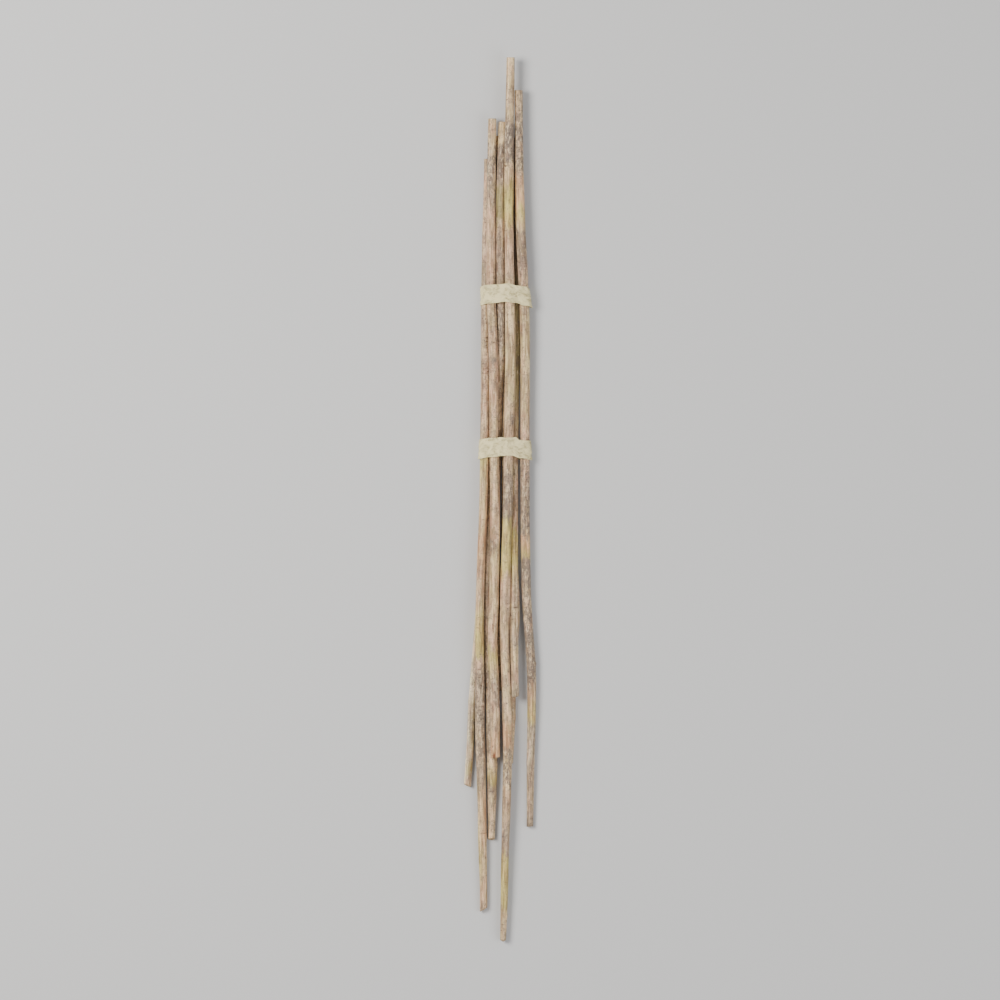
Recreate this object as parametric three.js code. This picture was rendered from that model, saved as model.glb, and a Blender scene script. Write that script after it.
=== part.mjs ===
// A bundle of nine dry, bark-less twigs lying on a table, tied with two strips of paper tape.
// Millimetres, +Z up.  The twigs run along Y, their cut top ends towards +Y.
// Each twig is one solid, bent along its own centre line, and each tape is one closed ring.

import * as THREE from "three";

// ---- driving dimensions ------------------------------------------------------------------

const TAPE_WIDTH = 19;          // a standard 19 mm roll
const TAPE_WALL = 0.5;          // one lap of tape with its overlap
const TOUCH_GAP = 0.3;          // between pieces that touch
const TWIG_SIDES = 12;
const RING_SPACING = 25;        // along a twig
const TAPE_STEPS = 4;           // slices across the width of a tape
const LAP_POINTS = 24;          // points round each twig from which a tape's outline is taken

// Each twig, lowest layer first.  A station is [y, x, z, radius] of its centre line.
// A cut is how far the end face leans, in mm of length per mm across, as [in x, in z].
const TWIGS = {
  twig_left_splayed: {
    colour: 0xc2ad90,
    cuts: { top: [0, 0], bottom: [-0.45, 0.2] },
    stations: [
      [72, -15.3, 3.7, 2.8], [50, -15.8, 3.7, 2.8], [0, -16.9, 3.6, 2.9],
      [-57, -18.3, 3.5, 3.1], [-95, -19.5, 3.6, 3.3], [-133, -22.1, 3.7, 3.5],
      [-190, -26.2, 3.8, 3.8], [-228, -28, 3.7, 3.6], [-250, -29.6, 3.6, 3.5],
      [-272, -31.1, 3.3, 3.3],
    ],
  },
  twig_left_low: {
    colour: 0xb39a7c,
    cuts: { top: [0.1, 0], bottom: [0, 0.3] },
    stations: [
      [347, -3.9, 4.3, 3.1], [320, -4.3, 4, 3.1], [285, -4.8, 3.7, 3.1], [240, -5.7, 3.9, 3.1],
      [195, -6.5, 4, 3], [143, -7.7, 4, 3], [95, -8.7, 4, 3], [50, -9.5, 4.1, 3],
      [0, -10.5, 5.1, 3.2], [-57, -12, 6.3, 3.5], [-95, -12.3, 6.5, 3.9],
      [-133, -12.4, 5.7, 4.2], [-190, -9.6, 5.2, 4.4], [-228, -8.6, 5.1, 4.7],
      [-255, -7.4, 4.9, 4.9], [-285, -7.8, 4.2, 4], [-304, -8, 3.5, 3.4],
      [-323, -8.2, 3.2, 3.2],
    ],
  },
  twig_under_longest: {
    colour: 0xbfa98a,
    cuts: { top: [0, 0], bottom: [0.1, 0.2] },
    stations: [
      [240, 8, 4, 3.4], [195, 7.6, 4.6, 3.6], [143, 7.6, 4.3, 3.4], [95, 6.2, 4.5, 3.5],
      [50, 5.6, 4.6, 3.6], [0, 5.2, 4.5, 3.7], [-38, 5, 4.3, 3.7], [-76, 5.6, 4.2, 3.7],
      [-95, 6.8, 4.2, 3.8], [-133, 8.6, 4.1, 3.8], [-160, 10, 4, 3.9],
      [-190, 11, 3.9, 3.9], [-228, 9.9, 3.8, 3.6], [-251, 9, 3.3, 3.2],
    ],
  },
  twig_middle_low: {
    colour: 0xa78e70,
    cuts: { top: [0, 0], bottom: [0.2, 0.2] },
    stations: [
      [360, 2.8, 8.8, 3.9], [323, 1.4, 9.6, 4.1], [285, 0.3, 10, 4.4], [240, 0.1, 10, 4.5],
      [195, 0.3, 9.4, 4.4], [143, 0.6, 8.5, 4.2], [95, -1.6, 6.1, 3.9], [50, -2.2, 4.7, 3.6],
      [0, -3.4, 4.2, 3.5], [-57, -3.8, 4.2, 3.6], [-95, -3.4, 4.2, 3.6],
      [-133, -2.2, 4, 3.6], [-160, -1.3, 3.8, 3.6], [-181, -0.5, 3.6, 3.4],
    ],
  },
  twig_right_inner: {
    colour: 0xc9b79c,
    cuts: { top: [0, 0], bottom: [0.1, -0.4] },
    stations: [
      [345, 13.9, 4.3, 2.9], [320, 14.4, 4, 3], [285, 15.4, 3.7, 3.1], [247, 16.6, 3.8, 3.2],
      [220, 16.7, 4.1, 3.4], [195, 16.2, 4.8, 3.9], [143, 15.4, 4.9, 4], [95, 14.2, 5, 4],
      [50, 13.5, 5.2, 3.9], [0, 13.2, 6.1, 4],
      [-38, 12.8, 7.2, 4], [-57, 12.8, 8, 4.2], [-76, 13.1, 8.8, 4.4],
      [-95, 14, 9.8, 4.6], [-114, 13.8, 10.8, 4.6], [-133, 13.4, 11.4, 4.2],
      [-152, 13.6, 11.4, 3.7], [-186, 14.5, 11.4, 3.5],
    ],
  },
  twig_left: {
    colour: 0xc6b092,
    cuts: { top: [0, 0], bottom: [0.6, 0.2] },
    stations: [
      [325, -11.6, 4.2, 3.6], [285, -12.1, 4.5, 3.8], [240, -13.3, 5, 3.9],
      [195, -14, 5.9, 4], [170, -14.1, 7.4, 4], [143, -14.1, 9.2, 4], [95, -14.4, 10.6, 4],
      [50, -15, 11.4, 4], [0, -15.9, 11.6, 3.8], [-57, -18.1, 12, 3.8],
      [-95, -19.2, 12.3, 3.8], [-133, -19.6, 12.1, 4.1], [-190, -19.3, 9.9, 4.4],
      [-228, -18.9, 8.3, 4.4], [-285, -17.6, 6, 4.1], [-332, -16.7, 4.6, 3.8],
      [-361, -15.9, 3.9, 3.5], [-390, -15.6, 3.4, 3.4],
    ],
  },
  twig_right: {
    colour: 0xc0a98c,
    cuts: { top: [0, 0], bottom: [0.1, 0.1] },
    stations: [
      [390, 17.6, 11.2, 3.7], [342, 17.9, 11.3, 4], [285, 18.9, 11.6, 4.3],
      [240, 20.5, 11.8, 4.6], [195, 22.8, 11.1, 4.6], [143, 23.8, 9.7, 4.4],
      [95, 23.8, 9.1, 4.3], [50, 23.7, 8.6, 4.3], [0, 23.8, 8.1, 4.3],
      [-57, 24.5, 7.3, 4.3], [-95, 25.4, 6.8, 4.3], [-133, 28, 6.2, 4.3],
      [-163, 29.8, 5.7, 4.3], [-200, 29.9, 5.1, 4.1], [-245, 29.2, 4.2, 3.8],
      [-285, 28.7, 3.5, 3.3], [-311, 28.3, 3.1, 3.1],
    ],
  },
  twig_middle: {
    colour: 0xcbb69a,
    cuts: { top: [0, 0], bottom: [0.15, 0] },
    stations: [
      [363, -7.5, 11.6, 3.8], [325, -8.2, 11.8, 4], [285, -8.5, 12.3, 4.1],
      [240, -8.8, 12.5, 4.2], [195, -8.5, 12.7, 4.2], [170, -7.6, 13.4, 4.2],
      [143, -6.5, 14, 4.3], [95, -6, 13.7, 4.3], [50, -5.9, 13, 4.2], [0, -4.8, 13, 4.5],
      [-38, -4.9, 13, 4.6], [-95, -6, 13.2, 4.5], [-143, -7.3, 13.4, 4.5],
      [-180, -5.4, 13.6, 4.5], [-228, -4.7, 14, 4.4], [-245, -4.5, 14, 4.3],
    ],
  },
  twig_longest: {
    colour: 0xc9b698,
    cuts: { top: [0, 0], bottom: [0.1, 0.3] },
    stations: [
      [421, 10, 14.4, 3.8], [390, 9.6, 14.6, 4], [342, 8.5, 15, 4.3], [285, 8.4, 14.5, 4.2],
      [240, 8.7, 14.2, 4.15], [195, 9.3, 14, 4.6], [143, 9.8, 13.8, 4.9],
      [95, 9.3, 13.7, 4.8], [50, 8, 13.7, 4.5], [0, 7.3, 13.8, 4.4], [-57, 5.5, 13.8, 4.5],
      [-95, 4.8, 13.6, 4.6], [-133, 4.3, 13.1, 4.3], [-170, 5.5, 12.5, 4.2],
      [-228, 7, 11.6, 4.2], [-285, 6.2, 10.1, 4], [-332, 4.9, 8.8, 3.7],
      [-371, 4.1, 7.6, 3.4], [-420, 2.9, 6.4, 2.8],
    ],
  },
};

// Each tape: the middle of its width, how far its top side bows towards +Y and leans from one
// end to the other, and how much wider it is at its lower edge than at its upper one.
// SLACK is how far a tape stands off its twigs at each end.
const TAPES = {
  tape_upper: { middle: 193.4, bow: 3.4, lean: -0.04, spread: 0.06, slack: [0.2, 1.4] },
  tape_lower: { middle: 47.5, bow: 3.4, lean: -0.03, spread: 0.04, slack: [0.8, 2.6] },
};

const TAPE_LOOKS = { color: 0xd0caba, roughness: 0.85, metalness: 0 };

// ---- twigs -------------------------------------------------------------------------------

// The centre line and the radius of a twig at a height y, by a smooth curve through its stations.
function stationAt(stations, y) {
  const last = stations.length - 1;
  let k = 0;
  while (k < last - 1 && y < stations[k + 1][0]) {
    k += 1;
  }
  const [from, to] = [stations[k], stations[k + 1]];
  const before = stations[Math.max(k - 1, 0)];
  const after = stations[Math.min(k + 2, last)];
  const step = to[0] - from[0];
  const t = (y - from[0]) / step;
  const blend = (c) => {
    const slopeIn = ((to[c] - before[c]) / (to[0] - before[0])) * step;
    const slopeOut = ((after[c] - from[c]) / (after[0] - from[0])) * step;
    return (
      (2 * t ** 3 - 3 * t ** 2 + 1) * from[c] + (t ** 3 - 2 * t ** 2 + t) * slopeIn
      + (3 * t ** 2 - 2 * t ** 3) * to[c] + (t ** 3 - t ** 2) * slopeOut
    );
  };
  return { x: blend(1), z: blend(2), radius: blend(3) };
}

// A straight closed cylinder whose rings are moved onto the twig's centre line.
function twigGeometry({ stations, cuts }) {
  const top = stations[0][0];
  const bottom = stations[stations.length - 1][0];
  const rings = Math.round((top - bottom) / RING_SPACING);
  const body = new THREE.CylinderGeometry(1, 1, 1, TWIG_SIDES, rings);
  const place = body.attributes.position;
  for (let i = 0; i < place.count; i += 1) {
    const along = place.getY(i) + 0.5;
    const y = bottom + along * (top - bottom);
    const { x, z, radius } = stationAt(stations, y);
    const offX = place.getX(i) * radius;
    const offZ = place.getZ(i) * radius;
    let lean = 0;
    if (along > 0.999) {
      lean = cuts.top[0] * offX + cuts.top[1] * offZ;
    } else if (along < 0.001) {
      lean = cuts.bottom[0] * offX + cuts.bottom[1] * offZ;
    }
    place.setXYZ(i, x + offX, y + lean, z + offZ);
  }
  return body;
}

// ---- tapes -------------------------------------------------------------------------------

// The convex outline of a set of points, anticlockwise.
function outline(points) {
  const sorted = [...points].sort((a, b) => a.x - b.x || a.y - b.y);
  const turn = (a, b, c) => (b.x - a.x) * (c.y - a.y) - (b.y - a.y) * (c.x - a.x);
  const half = (list) => {
    const chain = [];
    for (const point of list) {
      while (chain.length > 1 && turn(chain.at(-2), chain.at(-1), point) <= 0.02) {
        chain.pop();
      }
      chain.push(point);
    }
    return chain.slice(0, -1);
  };
  return [...half(sorted), ...half(sorted.reverse())];
}

// The outline of the twigs that pass through a tape, kept clear by a distance, with a flat
// underside.  Its ends stand off by the tape's slack.
function lapOutline({ middle, slack }, clear, underside) {
  const points = [];
  for (const { stations } of Object.values(TWIGS)) {
    for (const y of [middle - TAPE_WIDTH / 2, middle, middle + TAPE_WIDTH / 2]) {
      if (y < stations[0][0]) {
        const { x, z, radius } = stationAt(stations, y);
        for (let k = 0; k < LAP_POINTS; k += 1) {
          const angle = (2 * Math.PI * k) / LAP_POINTS;
          const px = x + (radius + clear) * Math.cos(angle);
          const pz = z + (radius + clear) * Math.sin(angle);
          points.push(new THREE.Vector2(px, Math.max(pz, underside)));
        }
      }
    }
  }
  const left = Math.min(...points.map((p) => p.x));
  const right = Math.max(...points.map((p) => p.x));
  const centre = (left + right) / 2;
  const half = (right - left) / 2;
  for (const point of points) {
    const out = (point.x - centre) / half;
    const stand = out < 0 ? slack[0] : slack[1];
    point.x += Math.sign(out) * stand * out ** 4;
  }
  return outline(points);
}

function tapeGeometry(tape) {
  const outer = lapOutline(tape, TOUCH_GAP + TAPE_WALL, 0);
  const inner = lapOutline(tape, TOUCH_GAP, TAPE_WALL);
  const section = new THREE.Shape(outer);
  section.holes.push(new THREE.Path(inner));
  const ring = new THREE.ExtrudeGeometry(section, {
    depth: TAPE_WIDTH,
    steps: TAPE_STEPS,
    bevelEnabled: false,
  });
  const height = Math.max(...outer.map((p) => p.y));
  const half = (Math.max(...outer.map((p) => p.x)) - Math.min(...outer.map((p) => p.x))) / 2;
  const centre = Math.max(...outer.map((p) => p.x)) - half;
  const place = ring.attributes.position;
  for (let i = 0; i < place.count; i += 1) {
    const across = place.getX(i) - centre;
    const z = place.getY(i);
    const along = place.getZ(i);
    const wider = 1 + tape.spread * (along / TAPE_WIDTH);
    const bow = tape.bow * (1 - (across / half) ** 2) * (z / height);
    const y = tape.middle + TAPE_WIDTH / 2 - along + bow + tape.lean * across;
    place.setXYZ(i, centre + across * wider, y, z);
  }
  return ring;
}

// ---- the bundle --------------------------------------------------------------------------

const bundle = new THREE.Group();

for (const [name, twig] of Object.entries(TWIGS)) {
  const looks = { color: twig.colour, roughness: 0.8, metalness: 0 };
  const mesh = new THREE.Mesh(twigGeometry(twig), new THREE.MeshStandardMaterial(looks));
  mesh.name = name;
  bundle.add(mesh);
}

for (const [name, tape] of Object.entries(TAPES)) {
  const mesh = new THREE.Mesh(tapeGeometry(tape), new THREE.MeshStandardMaterial(TAPE_LOOKS));
  mesh.name = name;
  bundle.add(mesh);
}

// The origin is under the middle of the bundle, on the surface that it lies on.
const box = new THREE.Box3().setFromObject(bundle);
bundle.position.set(-(box.min.x + box.max.x) / 2, -(box.min.y + box.max.y) / 2, -box.min.z);

export default bundle;
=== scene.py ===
# A bundle of nine dry, bark-less twigs lying on a table, tied with two strips of paper tape.
# Each section makes one piece, or the light and the table, round the fixed CAD model. Metres.

import math

import bmesh
import bpy
from mathutils import Matrix, Vector, noise
from mathutils.geometry import convex_hull_2d


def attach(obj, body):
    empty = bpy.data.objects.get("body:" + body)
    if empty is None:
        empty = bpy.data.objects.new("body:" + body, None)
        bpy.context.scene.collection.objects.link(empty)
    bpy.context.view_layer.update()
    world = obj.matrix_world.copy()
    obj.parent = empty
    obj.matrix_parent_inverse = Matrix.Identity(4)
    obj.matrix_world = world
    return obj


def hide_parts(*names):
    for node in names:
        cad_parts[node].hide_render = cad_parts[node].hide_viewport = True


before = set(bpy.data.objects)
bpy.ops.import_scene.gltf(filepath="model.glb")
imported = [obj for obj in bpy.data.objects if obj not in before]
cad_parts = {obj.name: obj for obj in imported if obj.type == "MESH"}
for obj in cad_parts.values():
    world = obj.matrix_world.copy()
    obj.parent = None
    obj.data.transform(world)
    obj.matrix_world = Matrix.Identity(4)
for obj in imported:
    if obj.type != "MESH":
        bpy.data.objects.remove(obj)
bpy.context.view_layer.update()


# ---- Table, lamps and camera ----
# The bundle lies on a pale, matt table top. Two broad soft lamps and a pale room light it
# evenly, and the camera hangs straight over it.

TABLE_SIDE = 8.0
TABLE_GREY = (0.56, 0.555, 0.545, 1)
TABLE_MATT = 0.9
ROOM_GREY = (0.9, 0.92, 0.95, 1)
ROOM_STRENGTH = 0.56
CAMERA_HEIGHT = 6.7525
LENS = 255                      # mm, long, so that the tops and ends of the twigs keep their scale

bm = bmesh.new()
bmesh.ops.create_grid(bm, x_segments=1, y_segments=1, size=TABLE_SIDE / 2)
table_mesh = bpy.data.meshes.new("table_top")
bm.to_mesh(table_mesh)
bm.free()
table_top = bpy.data.objects.new("table_top", table_mesh)
bpy.context.scene.collection.objects.link(table_top)
table_paint = bpy.data.materials.new("table_paint")
table_paint.use_nodes = True
table_coat = table_paint.node_tree.nodes["Principled BSDF"]
table_coat.inputs["Base Color"].default_value = TABLE_GREY
table_coat.inputs["Roughness"].default_value = TABLE_MATT
table_mesh.materials.append(table_paint)

room = bpy.data.worlds.new("room")
room.use_nodes = True
room.node_tree.nodes["Background"].inputs["Color"].default_value = ROOM_GREY
room.node_tree.nodes["Background"].inputs["Strength"].default_value = ROOM_STRENGTH
bpy.context.scene.world = room


def hang_lamp(name, place, size, watts, colour):
    """A square soft lamp that faces the middle of the bundle."""
    lamp = bpy.data.lights.new(name, "AREA")
    lamp.size = size
    lamp.energy = watts
    lamp.color = colour
    stand = bpy.data.objects.new(name, lamp)
    stand.location = place
    stand.rotation_euler = Vector(place).to_track_quat("Z", "Y").to_euler()
    bpy.context.scene.collection.objects.link(stand)


hang_lamp("window_lamp", (-1.3, 0.5, 1.9), 1.0, 70, (1, 0.98, 0.95))
hang_lamp("fill_lamp", (1.5, -0.6, 1.8), 1.6, 24, (0.98, 0.98, 1))

camera_data = bpy.data.cameras.new("camera")
camera_data.lens = LENS
camera = bpy.data.objects.new("camera", camera_data)
camera.location = (0, 0, CAMERA_HEIGHT)
bpy.context.scene.collection.objects.link(camera)
bpy.context.scene.camera = camera


# ---- Left twig, splayed ----
# A thin dry stem with no bark, at the bottom of the bundle. The lower tape holds it, and it
# swings out to the left to a slanted cut. The values and helpers for all twigs are here.

MM = 0.001
STEM_SIDES = 44
RING_STEP = 1.2 * MM
RING_GAP = 8 * MM               # the rings of a CAD twig are further apart than this
CUT_REACH = 9 * MM              # how far up a stem the slant of its cut is felt
DRIED_OUT = 1.02                # a stem is this much thicker than its CAD twig, before its lumps
LUMPS = 0.055                   # these five are shares of the stem's radius
DIMPLES = 0.022
FLUTES = 0.042
RIPPLES = 0.012
RIPPLES_AT_REST = 0.4           # the ripples where a stem has no wrinkles
BORDER_WAVER = 9 * MM           # how far the border between two tints wanders
RING_REACH = 2.6 * MM
GROOVE_REACH = 0.8 * MM
GROOVE_SHARE = 0.55
BUD_REACH = 1.9 * MM
BUD_TURN = 0.42                 # radians
CUT_HOLLOW = 0.55 * MM
CUT_ROUGH = 0.35 * MM
END_RINGS = (0.08, 0.2, 0.3, 0.16)
GRAIN_REACH = 4 * MM            # the radius at which the grain is laid round a stem
TINTS = {
    # painted highlight: a pale tint laid on the lit flank of a stem
    "lit_flank_highlight": (0.900, 0.790, 0.580),
    "cream": (0.760, 0.570, 0.325),
    "tan": (0.590, 0.432, 0.258),
    "straw": (0.640, 0.490, 0.262),
    "olive": (0.590, 0.480, 0.165),
    "moss": (0.330, 0.268, 0.120),
    "pink": (0.660, 0.452, 0.278),
    "orange": (0.690, 0.435, 0.230),
    "brown": (0.410, 0.300, 0.195),
    "grey": (0.510, 0.405, 0.270),
    "pith": (0.300, 0.095, 0.045),
}


def centre_line(node):
    """The rings of a CAD twig from its top end down, each as (y, x, z, radius)."""
    points = sorted((v.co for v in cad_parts[node].data.vertices), key=lambda p: -p.y)
    rings = [[points[0]]]
    for point in points[1:]:
        if rings[-1][-1].y - point.y > RING_GAP:
            rings.append([])
        rings[-1].append(point)
    line = []
    for ring in rings:
        low = [min(p[k] for p in ring) for k in range(3)]
        high = [max(p[k] for p in ring) for k in range(3)]
        x, y, z = ((a + b) / 2 for a, b in zip(low, high))
        line.append((y, x, z, (high[0] - low[0]) / 2))
    return line


def place_on(line, y):
    """(x, z, radius) of a centre line at y, by a smooth curve through its rings."""
    last = len(line) - 1
    k = 0
    while k < last - 1 and y < line[k + 1][0]:
        k += 1
    start, end = line[k], line[k + 1]
    before, after = line[max(k - 1, 0)], line[min(k + 2, last)]
    step = end[0] - start[0]
    t = (y - start[0]) / step
    found = []
    for c in (1, 2, 3):
        slope_in = (end[c] - before[c]) / (end[0] - before[0]) * step
        slope_out = (after[c] - start[c]) / (after[0] - start[0]) * step
        found.append(
            (2 * t**3 - 3 * t**2 + 1) * start[c] + (t**3 - 2 * t**2 + t) * slope_in
            + (3 * t**2 - 2 * t**3) * end[c] + (t**3 - t**2) * slope_out
        )
    return found


def hump(distance, reach):
    """A round hump: 1 at no distance, and nearly 0 past twice its reach."""
    return math.exp(-((distance / reach) ** 2))


def look_at_height(looks, y):
    """The (tint, specks, wrinkles) of a stem at y, blended between the stops of its looks."""
    y_mm = y / MM
    if y_mm >= looks[0][0]:
        above = below = looks[0]
    elif y_mm <= looks[-1][0]:
        above = below = looks[-1]
    else:
        k = 0
        while looks[k + 1][0] > y_mm:
            k += 1
        above, below = looks[k], looks[k + 1]
    t = 0 if above is below else (above[0] - y_mm) / (above[0] - below[0])
    tint = Vector(TINTS[above[1]]).lerp(Vector(TINTS[below[1]]), t)
    return tint, above[2] + (below[2] - above[2]) * t, above[3] + (below[3] - above[3]) * t


def grow_stem(node, seed, cut, looks, patches=(), joints=(), buds=()):
    """Makes a dry stem round a CAD twig. cut is how far its lower end leans, across and up,
    and how far its sides are cut back.
    looks are (y mm, tint, specks, wrinkles) from the top down; patches are (y mm, side in
    degrees, half length mm, half width in degrees, tint, specks). joints are the rings where
    leaves once grew, (y mm, height mm), and buds are (y mm, side in degrees, height mm)."""
    line = centre_line(node)
    top, bottom = line[0][0], line[-1][0]
    shift = Vector((seed * 1.37, seed * 3.11, seed * 0.73))

    bm = bmesh.new()
    bmesh.ops.create_cone(
        bm, cap_ends=True, segments=STEM_SIDES, radius1=1, radius2=1, depth=1
    )
    bmesh.ops.rotate(bm, verts=bm.verts, matrix=Matrix.Rotation(-math.pi / 2, 3, "X"))
    long_edges = [e for e in bm.edges if abs(e.verts[0].co.y - e.verts[1].co.y) > 0.5]
    rings = round((top - bottom) / RING_STEP)
    bmesh.ops.subdivide_edges(bm, edges=long_edges, cuts=rings, use_grid_fill=True)
    ends = [f for f in bm.faces if len(f.verts) == STEM_SIDES]
    for face in ends:
        for share in END_RINGS:
            bmesh.ops.inset_region(bm, faces=[face], thickness=share, use_even_offset=True)
        bmesh.ops.poke(bm, faces=[face])
    for face in bm.faces:
        face.smooth = True
        face.material_index = 1 if abs(face.normal.y) > 0.5 else 0

    grain = bm.verts.layers.float_vector.new("grain")
    tinting = bm.verts.layers.float_vector.new("tint")
    marking = bm.verts.layers.float_vector.new("marks")
    for v in bm.verts:
        y = bottom + (v.co.y + 0.5) * (top - bottom)
        out = math.hypot(v.co.x, v.co.z)
        side = math.atan2(v.co.z, v.co.x)
        across, up = math.cos(side), math.sin(side)
        x, z, radius = place_on(line, y)
        round_it = Vector((across, 0, up))

        lumps = noise.noise(round_it * 1.1 + Vector((0, y * 28, 0)) + shift) * LUMPS
        lumps += noise.noise(round_it * 2.6 + Vector((0, y * 75, 0)) + shift) * DIMPLES
        flutes = noise.noise(round_it * 4.8 + Vector((0, y * 14, 0)) + shift) * FLUTES
        borders = noise.noise(round_it * 1.3 + Vector((0, y * 60, 0)) - shift)
        borders += 0.6 * noise.noise(round_it * 3.1 + Vector((0, y * 150, 0)) - shift)
        tint, specks, wrinkles = look_at_height(looks, y + borders * BORDER_WAVER)
        ripples = noise.noise(round_it * 1.6 + Vector((0, y * 620, 0)) + shift)
        swell = lumps + flutes + ripples * RIPPLES * (RIPPLES_AT_REST + wrinkles)
        height = 0
        for joint_y, joint_height in joints:
            gap = y - (joint_y + 0.5 * math.sin(side * 2 + seed)) * MM
            groove = GROOVE_SHARE * hump(gap, GROOVE_REACH)
            height += joint_height * MM * (hump(gap, RING_REACH) - groove)
        for bud_y, bud_side, bud_height in buds:
            turn = math.remainder(side - math.radians(bud_side), 2 * math.pi)
            height += bud_height * MM * hump(y - bud_y * MM, BUD_REACH) * hump(turn, BUD_TURN)
        for spot_y, spot_side, spot_long, spot_wide, spot_tint, spot_specks in patches:
            turn = math.degrees(math.remainder(side - math.radians(spot_side), 2 * math.pi))
            cover = hump(math.hypot((y / MM - spot_y) / spot_long, turn / spot_wide), 1)
            cover = min(1, cover * (1.25 + borders))
            tint = tint.lerp(Vector(TINTS[spot_tint]), cover)
            specks += (spot_specks - specks) * cover

        thick = radius * (DRIED_OUT + swell) + height
        near_cut = max(0, 1 - (y - bottom) / CUT_REACH)
        slant = cut[0] * v.co.x + cut[1] * v.co.z + cut[2] * abs(v.co.x)
        lean = slant * radius * near_cut**2 * (3 - 2 * near_cut)
        if out < 0.999:
            end = math.copysign(1, v.co.y)
            sunk = CUT_HOLLOW * hump(out, 0.3)
            rough = noise.noise(round_it * out * 5 + shift) * CUT_ROUGH
            lean += end * (rough * (1 - out) * 2 - sunk)
        v[grain] = Vector((v.co.x * GRAIN_REACH, y, v.co.z * GRAIN_REACH)) + shift
        v[tinting] = tint
        v[marking] = (specks, wrinkles, out)
        v.co = (x + v.co.x * thick, y + lean, max(z + v.co.z * thick, 0))

    name = node.replace("twig", "stem")
    mesh = bpy.data.meshes.new(name)
    bm.to_mesh(mesh)
    bm.free()
    mesh.materials.append(dry_stem)
    mesh.materials.append(cut_end)
    stem = bpy.data.objects.new(name, mesh)
    bpy.context.scene.collection.objects.link(stem)
    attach(stem, "root")
    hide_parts(node)


def step_of(recipe, kind, feeds=(), **settings):
    """Adds one step to a finish. feeds are (socket, value or another step's output)."""
    made = recipe.nodes.new(kind)
    for name, value in settings.items():
        setattr(made, name, value)
    for socket, value in feeds:
        if isinstance(value, bpy.types.NodeSocket):
            recipe.links.new(value, made.inputs[socket])
        else:
            made.inputs[socket].default_value = value
    return made


def start_finish(name):
    """A new finish: (material, its node tree, its Principled shader)."""
    finish = bpy.data.materials.new(name)
    finish.use_nodes = True
    return finish, finish.node_tree, finish.node_tree.nodes["Principled BSDF"]


def cloud(recipe, coords, stretch, detail=3, roughness=0.55, distortion=0.0):
    """Soft noise, from 0 to 1, with so many clouds to the metre along x, y and z."""
    scaled = step_of(
        recipe, "ShaderNodeVectorMath", [(0, coords), (1, stretch)], operation="MULTIPLY"
    )
    made = step_of(recipe, "ShaderNodeTexNoise", [
        ("Vector", scaled.outputs[0]), ("Scale", 1.0), ("Detail", detail),
        ("Roughness", roughness), ("Distortion", distortion),
    ])
    return made.outputs["Fac"]


def between(recipe, value, low, high, to_low=0.0, to_high=1.0):
    """Maps a value from the range low to high, softly, to the range to_low to to_high."""
    made = step_of(recipe, "ShaderNodeMapRange", [
        ("Value", value), ("From Min", low), ("From Max", high),
        ("To Min", to_low), ("To Max", to_high),
    ], interpolation_type="SMOOTHSTEP")
    return made.outputs["Result"]


def sums(recipe, operation, a, b=0.0, c=0.0):
    """One arithmetic step."""
    feeds = [(0, a), (1, b), (2, c)]
    return step_of(recipe, "ShaderNodeMath", feeds, operation=operation).outputs[0]


def blended(recipe, share, under, over, how="MIX"):
    """One colour laid over another."""
    feeds = [(0, share), (6, under), (7, over)]
    made = step_of(recipe, "ShaderNodeMix", feeds, data_type="RGBA", blend_type=how)
    return made.outputs[2]


MOTTLE = (0.165, 0.120, 0.090, 1)
FRECKLE = (0.075, 0.052, 0.038, 1)
WRINKLE = (0.36, 0.28, 0.24, 1)
STREAK_DARK = (0.58, 0.51, 0.44, 1)
STREAK_LIGHT = (1.24, 1.22, 1.19, 1)
ROSY = (1.03, 0.93, 0.97, 1)
GREENISH = (0.95, 1.0, 0.89, 1)
BLEACHED = (0.88, 0.70, 0.44, 1)


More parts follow.
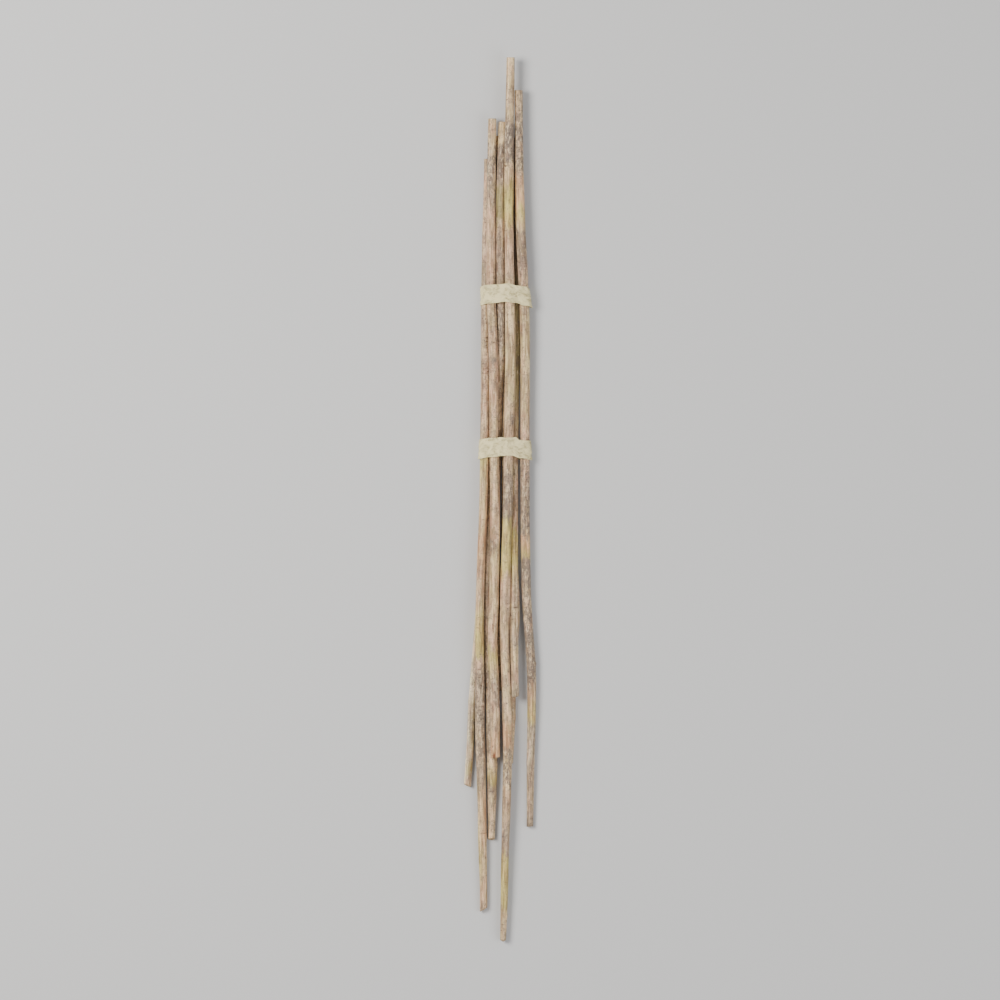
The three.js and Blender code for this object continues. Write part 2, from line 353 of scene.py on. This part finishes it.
def mix_dry_stem():
    """Dry wood: streaks and fibres along it, soft mottling, dark freckles, pale flecks and
    wrinkles across. The stem's own marks say how much of each there is."""
    finish, recipe, shader = start_finish("dry_stem")
    coords = step_of(recipe, "ShaderNodeAttribute", attribute_name="grain").outputs["Vector"]
    tint = step_of(recipe, "ShaderNodeAttribute", attribute_name="tint").outputs["Color"]
    marks = step_of(recipe, "ShaderNodeAttribute", attribute_name="marks").outputs["Vector"]
    parts = step_of(recipe, "ShaderNodeSeparateXYZ", [(0, marks)])
    specky, wrinkled = parts.outputs[0], parts.outputs[1]

    streaks = cloud(recipe, coords, (480, 36, 480), detail=4, roughness=0.6)
    fibres = cloud(recipe, coords, (1500, 85, 1500), detail=3, roughness=0.6)
    patches = cloud(recipe, coords, (110, 62, 110), detail=3, roughness=0.5)
    hues = cloud(recipe, coords, (210, 75, 210), detail=3, roughness=0.5)
    mottles = cloud(recipe, coords, (400, 230, 400), detail=5, roughness=0.66, distortion=0.25)
    freckles = cloud(recipe, coords, (980, 640, 980), detail=2, roughness=0.5)
    flecks = cloud(recipe, coords, (720, 190, 720), detail=4, roughness=0.6)
    creases = cloud(recipe, coords, (170, 900, 170), detail=3, roughness=0.5, distortion=0.8)

    colour = blended(recipe, between(recipe, hues, 0.50, 0.66, 0, 0.9), tint, ROSY, "MULTIPLY")
    colour = blended(
        recipe, between(recipe, hues, 0.34, 0.50, 0.9, 0), colour, GREENISH, "MULTIPLY"
    )
    streak = blended(recipe, between(recipe, streaks, 0.36, 0.64), STREAK_DARK, STREAK_LIGHT)
    colour = blended(recipe, 1.0, colour, streak, "MULTIPLY")
    fibre = between(recipe, fibres, 0.34, 0.62, 0.65, 0)
    colour = blended(recipe, fibre, colour, STREAK_DARK, "MULTIPLY")

    gathered = sums(recipe, "MULTIPLY_ADD", sums(recipe, "SUBTRACT", patches, 0.5), 0.55, mottles)
    low = sums(recipe, "MULTIPLY_ADD", specky, -0.11, 0.52)
    mottle = between(recipe, gathered, low, sums(recipe, "ADD", low, 0.12))
    mottle = sums(recipe, "MULTIPLY", mottle, sums(recipe, "MULTIPLY_ADD", specky, 0.60, 0.24))
    colour = blended(recipe, mottle, colour, MOTTLE)
    low = sums(recipe, "MULTIPLY_ADD", specky, -0.09, 0.64)
    freckle = between(recipe, freckles, low, sums(recipe, "ADD", low, 0.07))
    near_mottles = between(recipe, gathered, 0.36, 0.56, 0.30, 0.90)
    freckle = sums(recipe, "MULTIPLY", freckle, near_mottles)
    colour = blended(recipe, freckle, colour, FRECKLE)
    line_low = sums(recipe, "MULTIPLY_ADD", wrinkled, -0.12, 0.66)
    line = between(recipe, creases, line_low, sums(recipe, "ADD", line_low, 0.06))
    line = sums(recipe, "MULTIPLY", line, between(recipe, patches, 0.36, 0.56, 0.3, 1))
    colour = blended(recipe, line, colour, WRINKLE, "MULTIPLY")
    low = sums(recipe, "MULTIPLY_ADD", specky, -0.06, 0.60)
    fleck = between(recipe, flecks, low, sums(recipe, "ADD", low, 0.09))
    fleck = sums(recipe, "MULTIPLY", fleck, sums(recipe, "MULTIPLY_ADD", specky, 0.20, 0.35))
    colour = blended(recipe, fleck, colour, BLEACHED)
    recipe.links.new(colour, shader.inputs["Base Color"])

    recipe.links.new(between(recipe, mottles, 0.3, 0.7, 0.58, 0.76), shader.inputs["Roughness"])
    shader.inputs["Sheen Weight"].default_value = 0.35
    shader.inputs["Sheen Roughness"].default_value = 0.4
    relief = sums(recipe, "MULTIPLY_ADD", fibres, 0.4, sums(recipe, "MULTIPLY", line, -0.5))
    relief = sums(recipe, "MULTIPLY_ADD", streaks, 0.9, relief)
    relief = sums(recipe, "MULTIPLY_ADD", freckle, -0.25, relief)
    relief = sums(recipe, "MULTIPLY_ADD", mottles, -0.5, relief)
    bump = step_of(recipe, "ShaderNodeBump", [
        ("Strength", 0.6), ("Distance", 0.3 * MM), ("Height", relief),
    ])
    recipe.links.new(bump.outputs[0], shader.inputs["Normal"])
    return finish


WOOD_PALE = (0.66, 0.50, 0.29, 1)
WOOD_DARK = (0.50, 0.35, 0.19, 1)
WOOD_STAIN = (0.36, 0.25, 0.15, 1)
PITH = (0.27, 0.14, 0.08, 1)


def mix_cut_end():
    """Cut wood: a brown pith, pale wood with pores and stains, and a darker rim."""
    finish, recipe, shader = start_finish("cut_end")
    coords = step_of(recipe, "ShaderNodeAttribute", attribute_name="grain").outputs["Vector"]
    marks = step_of(recipe, "ShaderNodeAttribute", attribute_name="marks").outputs["Vector"]
    out = step_of(recipe, "ShaderNodeSeparateXYZ", [(0, marks)]).outputs[2]
    pores = cloud(recipe, coords, (1900, 1900, 1900), detail=2)
    stains = cloud(recipe, coords, (420, 420, 420), detail=4)
    wood = blended(recipe, between(recipe, pores, 0.4, 0.7), WOOD_PALE, WOOD_DARK)
    wood = blended(recipe, between(recipe, stains, 0.46, 0.62, 0, 0.6), wood, WOOD_STAIN)
    ragged = sums(recipe, "MULTIPLY_ADD", sums(recipe, "SUBTRACT", stains, 0.5), 0.5, out)
    wood = blended(recipe, between(recipe, ragged, 0.34, 0.20), wood, PITH)
    wood = blended(recipe, between(recipe, ragged, 0.80, 0.98, 0, 0.8), wood, WOOD_STAIN)
    recipe.links.new(wood, shader.inputs["Base Color"])
    shader.inputs["Roughness"].default_value = 0.85
    bump = step_of(recipe, "ShaderNodeBump", [
        ("Strength", 0.6), ("Distance", 0.2 * MM), ("Height", pores),
    ])
    recipe.links.new(bump.outputs[0], shader.inputs["Normal"])
    return finish


dry_stem = mix_dry_stem()
cut_end = mix_cut_end()

grow_stem(
    "twig_left_splayed", seed=1, cut=(-0.45, 0.2, 0),
    looks=[
        (72, "tan", 0.45, 0.2), (0, "tan", 0.35, 0.2), (-130, "cream", 0.35, 0.2),
        (-180, "grey", 0.5, 0.4), (-228, "moss", 0.4, 0.3), (-243, "tan", 0.35, 0.1),
        (-252, "olive", 0.2, 0.1), (-262, "grey", 0.4, 0.2), (-272, "pink", 0.45, 0.1),
    ],
    # The pale patch down the left flank is a painted highlight, where the lamps light that side.
    patches=[(-190, 160, 90, 46, "lit_flank_highlight", 0.1)],
    joints=[(-40, 0.35), (-192, 0.4)],
)


# ---- Left twig, low ----
# A straight thin dry stem, held low in the bundle by both tapes, half hidden under the two to
# the left of the middle. Near its lower end it has a leaf ring, and a dark band below that.

grow_stem(
    "twig_left_low", seed=2, cut=(0, 0.3, 0),
    looks=[
        (347, "tan", 0.45, 0.2), (250, "brown", 0.4, 0.3), (100, "tan", 0.4, 0.2),
        # The brown from -40 to -178 mm is painted shade, where this stem lies low between the left
        # and middle twigs.
        (-20, "tan", 0.4, 0.2), (-40, "brown", 0.5, 0.3), (-178, "brown", 0.75, 0.4),
        (-192, "tan", 0.7, 0.4), (-240, "tan", 0.7, 0.3),
        (-250, "cream", 0.5, 0.1), (-268, "olive", 0.3, 0.1), (-275, "brown", 0.7, 0.6),
        (-280, "tan", 0.4, 0.2), (-323, "cream", 0.45, 0.2),
    ],
    joints=[(-253, 0.45), (60, 0.35), (210, 0.35)],
)


# ---- Twig under the longest ----
# A straight dry stem, held low in the bundle by both tapes. It carries the longest one, and
# shows only as a tan strip near its end.

grow_stem(
    "twig_under_longest", seed=3, cut=(0.1, 0.2, 0),
    looks=[
        (240, "tan", 0.45, 0.2), (80, "cream", 0.45, 0.2), (-100, "tan", 0.4, 0.3),
        (-190, "tan", 0.45, 0.3), (-215, "cream", 0.35, 0.1), (-251, "tan", 0.4, 0.2),
    ],
    joints=[(-207, 0.4), (-20, 0.35)],
)


# ---- Middle twig, low ----
# A dry stem in the trough between the middle one and the longest, held by both tapes, darker
# partly as painted shade. Its skin is smooth and mossy for 30 mm, with a sharp lower edge, and
# mottled brown below.

grow_stem(
    "twig_middle_low", seed=4, cut=(0.2, 0.2, 0),
    looks=[
        (360, "cream", 0.3, 0.1), (343, "cream", 0.35, 0.1), (338, "brown", 0.8, 0.3),
        (305, "brown", 0.7, 0.3), (297, "moss", 0.1, 0.05), (266, "moss", 0.1, 0.05),
        # The brown from 250 to 206 mm is partly the stem's own colour and partly painted shade,
        # where it lies low in the trough.
        (262, "tan", 0.45, 0.3), (250, "brown", 0.6, 0.4), (206, "brown", 0.5, 0.3),
        (185, "brown", 0.8, 0.3), (150, "grey", 0.8, 0.3), (110, "tan", 0.6, 0.3),
        (60, "grey", 0.6, 0.2), (0, "tan", 0.4, 0.2), (-181, "tan", 0.4, 0.2),
    ],
    joints=[(230, 0.4), (-60, 0.35)],
)


# ---- Right twig, inner ----
# A dry stem that shows in the gap at the right, held by both tapes, and lifts over the others
# below them. Its lower end is cut on a slant that faces down.

grow_stem(
    "twig_right_inner", seed=5, cut=(0.1, -0.4, 0),
    looks=[
        (247, "brown", 0.4, 0.3), (187, "moss", 0.3, 0.2), (110, "moss", 0.2, 0.2),
        (45, "tan", 0.5, 0.2), (-27, "pink", 0.5, 0.4), (-34, "olive", 0.1, 0.1),
        (-62, "olive", 0.15, 0.1), (-80, "tan", 0.45, 0.2), (-112, "tan", 0.4, 0.7),
        (-134, "grey", 0.45, 0.5), (-140, "cream", 0.35, 0.1), (-158, "cream", 0.35, 0.1),
        (-163, "pink", 0.35, 0.2), (-187, "grey", 0.45, 0.2),
    ],
    joints=[(-27, 0.3), (128, 0.35)],
)


# ---- Left twig ----
# A long dry stem along the left side, lying over the splayed one and held by both tapes. It is
# wrinkled between the tapes and speckled grey in its lower half.

grow_stem(
    "twig_left", seed=6, cut=(0.6, 0.2, 0),
    looks=[
        (325, "pink", 0.35, 0.2), (285, "pink", 0.45, 0.2), (204, "grey", 0.45, 0.3),
        (187, "tan", 0.4, 0.2), (162, "tan", 0.6, 0.5), (130, "tan", 0.6, 0.9),
        (112, "pink", 0.5, 0.9), (104, "pink", 0.45, 0.3), (60, "tan", 0.45, 0.3),
        (40, "olive", 0.1, 0.05), (10, "straw", 0.25, 0.05), (-52, "orange", 0.1, 0.05),
        (-90, "tan", 0.3, 0.1), (-125, "olive", 0.1, 0.1), (-146, "olive", 0.3, 0.2),
        (-152, "pink", 0.5, 0.3), (-180, "grey", 0.7, 0.7), (-245, "tan", 0.8, 0.6),
        (-260, "brown", 0.6, 0.2), (-285, "straw", 0.25, 0.1), (-322, "cream", 0.25, 0.1),
        (-345, "straw", 0.25, 0.1), (-390, "pink", 0.45, 0.2),
    ],
    patches=[
        (140, 165, 60, 30, "grey", 0.2), (-305, 40, 22, 45, "orange", 0.1),
        (-340, 170, 25, 50, "olive", 0.1), (0, 20, 45, 35, "orange", 0.1),
    ],
    joints=[(-180, 0.5), (90, 0.3), (-343, 0.3)],
)


# ---- Right twig ----
# A long, slightly bowed dry stem along the right side, held by both tapes. It is mottled below
# them, kinks outwards at a bud, and runs on straight to its lower end.

grow_stem(
    "twig_right", seed=7, cut=(0.1, 0.1, 0),
    looks=[
        (390, "tan", 0.4, 0.2), (350, "tan", 0.95, 0.2), (318, "tan", 0.8, 0.2),
        (300, "orange", 0.1, 0.1), (285, "orange", 0.1, 0.1), (275, "olive", 0.1, 0.1),
        (258, "straw", 0.25, 0.1), (253, "brown", 0.6, 0.3), (206, "pink", 0.6, 0.4),
        (187, "tan", 0.35, 0.1), (142, "straw", 0.3, 0.2), (95, "straw", 0.3, 0.1),
        (60, "pink", 0.35, 0.1), (40, "pink", 0.7, 0.6), (5, "brown", 0.9, 0.7),
        (-33, "tan", 0.8, 0.4), (-38, "orange", 0.1, 0.1), (-52, "olive", 0.2, 0.1),
        (-58, "brown", 0.8, 0.3), (-100, "tan", 0.9, 0.3), (-171, "brown", 0.8, 0.3),
        (-180, "pink", 0.25, 0.1), (-209, "olive", 0.15, 0.1), (-218, "grey", 0.45, 0.2),
        (-250, "grey", 0.45, 0.2), (-260, "tan", 0.4, 0.2), (-311, "brown", 0.6, 0.2),
    ],
    joints=[(-251, 0.35), (225, 0.3), (20, 0.3)],
    buds=[(-156, 10, 0.8)],
)


# ---- Middle twig ----
# The dry stem on top at the left of the middle, held by both tapes. It is pinkish, with faint
# rings where leaves grew, and its lower end has a small red-brown hollow at the pith.

grow_stem(
    "twig_middle", seed=8, cut=(0.15, 0, 0),
    looks=[
        (363, "cream", 0.4, 0.1), (343, "cream", 0.5, 0.2), (338, "tan", 0.9, 0.2),
        (318, "tan", 0.9, 0.3), (300, "tan", 0.7, 0.2), (286, "brown", 0.5, 0.8),
        (276, "pink", 0.45, 0.9), (264, "pink", 0.25, 0.5), (258, "pink", 0.25, 0.1),
        (215, "pink", 0.25, 0.2), (206, "pink", 0.35, 0.4), (187, "cream", 0.35, 0.1),
        (170, "straw", 0.35, 0.1), (160, "pink", 0.5, 0.3), (112, "pink", 0.4, 0.3),
        (104, "pink", 0.35, 0.2), (60, "cream", 0.45, 0.2), (40, "cream", 0.35, 0.1),
        (-20, "pink", 0.35, 0.2), (-38, "pink", 0.35, 0.2), (-43, "brown", 0.8, 0.3),
        (-50, "tan", 0.5, 0.2), (-55, "straw", 0.25, 0.1), (-95, "cream", 0.25, 0.1),
        (-135, "pink", 0.35, 0.1), (-150, "olive", 0.1, 0.1), (-170, "cream", 0.35, 0.1),
        (-177, "brown", 0.7, 0.2), (-198, "pink", 0.5, 0.2), (-215, "tan", 0.35, 0.1),
        (-240, "orange", 0.2, 0.1),
    ],
    patches=[
        (133, 80, 3, 40, "brown", 0.9), (285, 30, 5, 45, "brown", 0.8),
        (-243, 104, 3.2, 26, "pith", 0),
    ],
    joints=[(-141, 0.5), (261, 0.3), (24, 0.3)],
    buds=[(-244.5, 104, -1.5)],
)


# ---- Longest twig ----
# The dry stem on top at the right of the middle, held by both tapes, which runs the whole
# length of the bundle. Its lower end is cut to a blunt point.

grow_stem(
    "twig_longest", seed=9, cut=(0, 0.3, 0.5),
    looks=[
        (421, "cream", 0.3, 0.1), (362, "tan", 0.45, 0.2), (353, "brown", 1.0, 0.3),
        (327, "brown", 0.9, 0.3), (324, "cream", 0.4, 0.9), (317, "cream", 0.35, 0.7),
        (305, "cream", 0.25, 0.1), (297, "olive", 0.05, 0.05), (264, "olive", 0.05, 0.1),
        (252, "pink", 0.3, 0.6), (238, "pink", 0.3, 0.5), (215, "tan", 0.3, 0.2),
        (187, "cream", 0.35, 0.1), (160, "cream", 0.3, 0.2), (154, "straw", 0.2, 0.3),
        (97, "straw", 0.25, 0.3), (60, "pink", 0.3, 0.1), (35, "tan", 0.45, 0.1),
        (23, "tan", 0.8, 0.2), (-16, "grey", 0.7, 0.2), (-21, "olive", 0.1, 0.05),
        (-66, "olive", 0.1, 0.05), (-76, "pink", 0.25, 0.1), (-140, "tan", 0.25, 0.1),
        (-144, "cream", 0.6, 0.1), (-162, "cream", 0.4, 0.1), (-175, "tan", 0.35, 0.2),
        (-205, "cream", 0.35, 0.1), (-218, "orange", 0.1, 0.1), (-233, "orange", 0.1, 0.1),
        (-245, "cream", 0.9, 0.2), (-276, "cream", 0.8, 0.2), (-281, "pink", 0.25, 0.1),
        (-305, "tan", 0.35, 0.1), (-318, "brown", 0.6, 0.1), (-332, "brown", 0.5, 0.1),
        (-340, "olive", 0.1, 0.05), (-384, "olive", 0.1, 0.1), (-395, "cream", 0.45, 0.2),
        (-420, "tan", 0.45, 0.2),
    ],
    patches=[(76, 50, 5, 35, "brown", 0.9)],
    joints=[(142, 0.25), (-207, 0.4), (252, 0.25)],
    buds=[(-396, 0, 0.4)],
)


# ---- Paper tapes ----
# Two strips of crinkled cream paper tape, each wound once round the bundle and stuck down on
# itself underneath. They flare at their lower edges and stand off the twigs at each end.

TAPE_STEP = 0.6 * MM
TAPE_THICK = 0.16 * MM
TAPE_OFF = 0.5 * MM             # from the twigs to the middle of the paper
LAP = 14 * MM                   # how far the end of a strip runs over its start
LAP_LIFT = 0.3 * MM
LAP_RAMP = 3 * MM
EDGE_LIFT = 0.6 * MM            # the lower edge curls up this much
ROUND_POINTS = 60               # round each twig, from which the strip's path is taken
SMOOTHED_OVER = (-1.6, -0.8, 0, 0.8, 1.6)   # mm along the path, averaged to round its corners
EDGE_WAVER = 0.35 * MM
EDGE_FRAY = 0.14 * MM
BULGES = 0.55                   # these four are heights in mm
FOLDS = 0.40
RUCKS = 0.45
CRIMPS = 0.10


def strip_path(nodes, middle, slack):
    """The way round the twigs at a height, as evenly spaced (x, z) from under the middle, and
    its length. It stands off by slack at the left and right end."""
    around = []
    for node in nodes:
        line = centre_line(node)
        if line[0][0] > middle:
            x, z, radius = place_on(line, middle)
            for k in range(ROUND_POINTS):
                turn = 2 * math.pi * k / ROUND_POINTS
                reach = radius + TAPE_OFF
                around.append(Vector((x + reach * math.cos(turn), z + reach * math.sin(turn))))
    corners = [around[k] for k in convex_hull_2d(around)]
    left, right = min(p.x for p in corners), max(p.x for p in corners)
    for p in corners:
        share = (p.x - (left + right) / 2) / ((right - left) / 2)
        p.x += math.copysign(slack[0] if share < 0 else slack[1], share) * share**4
    middle_x = sum(p.x for p in corners) / len(corners)
    start = min(range(len(corners)), key=lambda k: abs(corners[k].x - middle_x) + 9 * corners[k].y)
    corners = corners[start:] + corners[:start + 1]
    lengths = [0.0]
    for a, b in zip(corners, corners[1:]):
        lengths.append(lengths[-1] + (b - a).length)
    return corners, lengths


def along_path(corners, lengths, distance):
    """The (x, z) that far along a closed path, which goes round again past its end."""
    distance %= lengths[-1]
    k = 0
    while lengths[k + 1] < distance:
        k += 1
    return corners[k].lerp(corners[k + 1], (distance - lengths[k]) / (lengths[k + 1] - lengths[k]))


def edge_at(stops, x):
    """The y of a tape's edge at x. It waves gently from one (x mm, y mm) stop to the next."""
    x_mm = x / MM
    if x_mm <= stops[0][0]:
        return stops[0][1] * MM
    for before, after in zip(stops, stops[1:]):
        if x_mm <= after[0]:
            t = (x_mm - before[0]) / (after[0] - before[0])
            return (before[1] + (after[1] - before[1]) * t * t * (3 - 2 * t)) * MM
    return stops[-1][1] * MM


def wind_tape(node, seed, upper_edge, lower_edge, slack, flare):
    """Winds one strip. Its edges are given by (x mm, y mm) stops along its upper side, from the
    left; underneath it runs straight. flare is how far its lower edge stands out at each end."""
    shift = Vector((seed * 2.31, seed * 0.77, seed * 1.93))
    middle = (upper_edge[0][1] + upper_edge[-1][1] + lower_edge[0][1] + lower_edge[-1][1]) / 4 * MM
    twigs = [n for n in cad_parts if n.startswith("twig")]
    corners, lengths = strip_path(twigs, middle, slack)
    girth = lengths[-1]
    low_x, high_x = min(p.x for p in corners), max(p.x for p in corners)
    low_z, high_z = min(p.y for p in corners), max(p.y for p in corners)
    centre_x, half = (low_x + high_x) / 2, (high_x - low_x) / 2
    width = (upper_edge[0][1] - lower_edge[0][1]) * MM

    bm = bmesh.new()
    bmesh.ops.create_grid(
        bm, x_segments=round((girth + LAP) / TAPE_STEP),
        y_segments=round(width / TAPE_STEP), size=0.5,
    )
    lay = bm.verts.layers.float_vector.new("lay")
    for v in bm.verts:
        distance = (v.co.x + 0.5) * (girth + LAP)
        down = 0.5 - v.co.y
        spots = [along_path(corners, lengths, distance + k * MM) for k in SMOOTHED_OVER]
        spot = sum(spots, Vector((0, 0))) / len(spots)
        ahead = spots[4] - spots[0]
        outward = Vector((ahead.y, -ahead.x)).normalized()
        share = (spot.x - centre_x) / half
        height = (spot.y - low_z) / (high_z - low_z)
        edges = []
        for edge in (upper_edge, lower_edge):
            under = edge[0][1] + (edge[-1][1] - edge[0][1]) * (share + 1) / 2
            edges.append(under * MM + (edge_at(edge, spot.x) - under * MM) * min(1, height * 2.2))
        flat = Vector((distance, down * width, 0)) + shift
        waver = noise.noise(Vector((distance * 160, down * 2, 0)) + shift) * EDGE_WAVER
        fray = noise.noise(Vector((distance * 900, down * 2, 0)) - shift) * EDGE_FRAY
        y = edges[0] + (edges[1] - edges[0]) * down + (waver + fray) * (2 * abs(down - 0.5)) ** 2
        bulge = noise.noise(flat * 75) * BULGES
        folds = max(0, 1 - abs(noise.noise(Vector((flat.x * 105, flat.y * 190, 3)))) * 7)
        ruck = max(0, 1 - abs(noise.noise(Vector((flat.x * 60, flat.y * 130, 8)))) * 8)
        crimp = noise.noise(flat * 430) * CRIMPS
        top_side = max(0, min(1, height * 2))
        lift = (bulge - folds * FOLDS + ruck * RUCKS + crimp) * MM * (0.25 + 0.75 * top_side)
        over = max(0, min(1, (distance - girth + LAP_RAMP) / LAP_RAMP))
        lift += LAP_LIFT * over * (1 + 0.6 * hump(distance - girth - LAP, LAP_RAMP))
        lift += EDGE_LIFT * top_side * hump(1 - down, 0.12)
        spot = spot + outward * lift
        x = spot.x + math.copysign(flare[0] if share < 0 else flare[1], share) * down * share**4
        v[lay] = flat
        v.co = (x, y, max(spot.y, TAPE_THICK))
    bmesh.ops.recalc_face_normals(bm, faces=bm.faces)
    for face in bm.faces:
        face.smooth = True

    name = node.replace("tape", "paper_tape")
    mesh = bpy.data.meshes.new(name)
    bm.to_mesh(mesh)
    bm.free()
    mesh.materials.append(tape_paper)
    tape = bpy.data.objects.new(name, mesh)
    bpy.context.scene.collection.objects.link(tape)
    wall = tape.modifiers.new("paper", "SOLIDIFY")
    wall.thickness = TAPE_THICK
    wall.offset = 0
    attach(tape, "root")
    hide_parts(node)


PAPER_PALE = (0.80, 0.69, 0.37, 1)
PAPER_DARK = (0.61, 0.53, 0.28, 1)
# painted shade: the dark brown laid along the creases of the tape
CREASE_SHADE_BROWN = (0.44, 0.35, 0.15, 1)
FIBRE_BROWN = (0.33, 0.22, 0.09, 1)


def mix_tape_paper():
    """Creped paper: fine folds across the strip, soft creases darkened with painted shade, and a
    few brown fibres.
    """
    finish, recipe, shader = start_finish("tape_paper")
    lay = step_of(recipe, "ShaderNodeAttribute", attribute_name="lay").outputs["Vector"]
    crepe = cloud(recipe, lay, (1500, 160, 1), detail=3, roughness=0.6, distortion=0.5)
    clouds = cloud(recipe, lay, (120, 150, 1), detail=4, roughness=0.6, distortion=0.8)
    creases = cloud(recipe, lay, (120, 230, 1), detail=3, roughness=0.55, distortion=1.2)
    fibres = cloud(recipe, lay, (620, 380, 1), detail=4, roughness=0.65, distortion=2.0)
    colour = blended(recipe, between(recipe, clouds, 0.35, 0.65), PAPER_PALE, PAPER_DARK)
    ridge = sums(recipe, "ABSOLUTE", sums(recipe, "SUBTRACT", creases, 0.5))
    # The dark brown along the creases is painted shade; the same mask also dents the bump.
    shaded_crease = between(recipe, ridge, 0.0, 0.045, 0.85, 0.0)
    shaded_crease = sums(recipe, "MULTIPLY", shaded_crease, between(recipe, clouds, 0.44, 0.58))
    colour = blended(recipe, shaded_crease, colour, CREASE_SHADE_BROWN)
    dots = between(recipe, fibres, 0.62, 0.70, 0.0, 0.7)
    colour = blended(recipe, dots, colour, FIBRE_BROWN)
    recipe.links.new(colour, shader.inputs["Base Color"])
    shader.inputs["Roughness"].default_value = 0.82
    relief = sums(recipe, "MULTIPLY_ADD", crepe, 0.5, sums(recipe, "MULTIPLY", shaded_crease, -0.8))
    relief = sums(recipe, "MULTIPLY_ADD", clouds, 0.6, relief)
    bump = step_of(recipe, "ShaderNodeBump", [
        ("Strength", 0.8), ("Distance", 0.4 * MM), ("Height", relief),
    ])
    recipe.links.new(bump.outputs[0], shader.inputs["Normal"])
    return finish


tape_paper = mix_tape_paper()
wind_tape(
    "tape_upper", seed=1,
    upper_edge=[
        (-19, 202.9), (-15, 204.6), (-3, 205.1), (8, 206), (16, 204.2), (25, 202.9), (29, 200.6),
    ],
    lower_edge=[(-19, 185), (-11, 186.8), (6, 188.3), (15, 187.2), (24, 184.6), (30, 182.6)],
    slack=(0.3 * MM, 0.3 * MM), flare=(0, 2.3 * MM),
)
wind_tape(
    "tape_lower", seed=2,
    upper_edge=[(-19, 57.9), (-9, 59.1), (3, 59.5), (15, 59.8), (18.5, 57), (29, 56.7)],
    lower_edge=[(-20, 38.7), (-10, 40.7), (3, 42), (11, 42), (19, 39.9), (31, 38)],
    slack=(0, 0.6 * MM), flare=(0.8 * MM, 1.1 * MM),
)
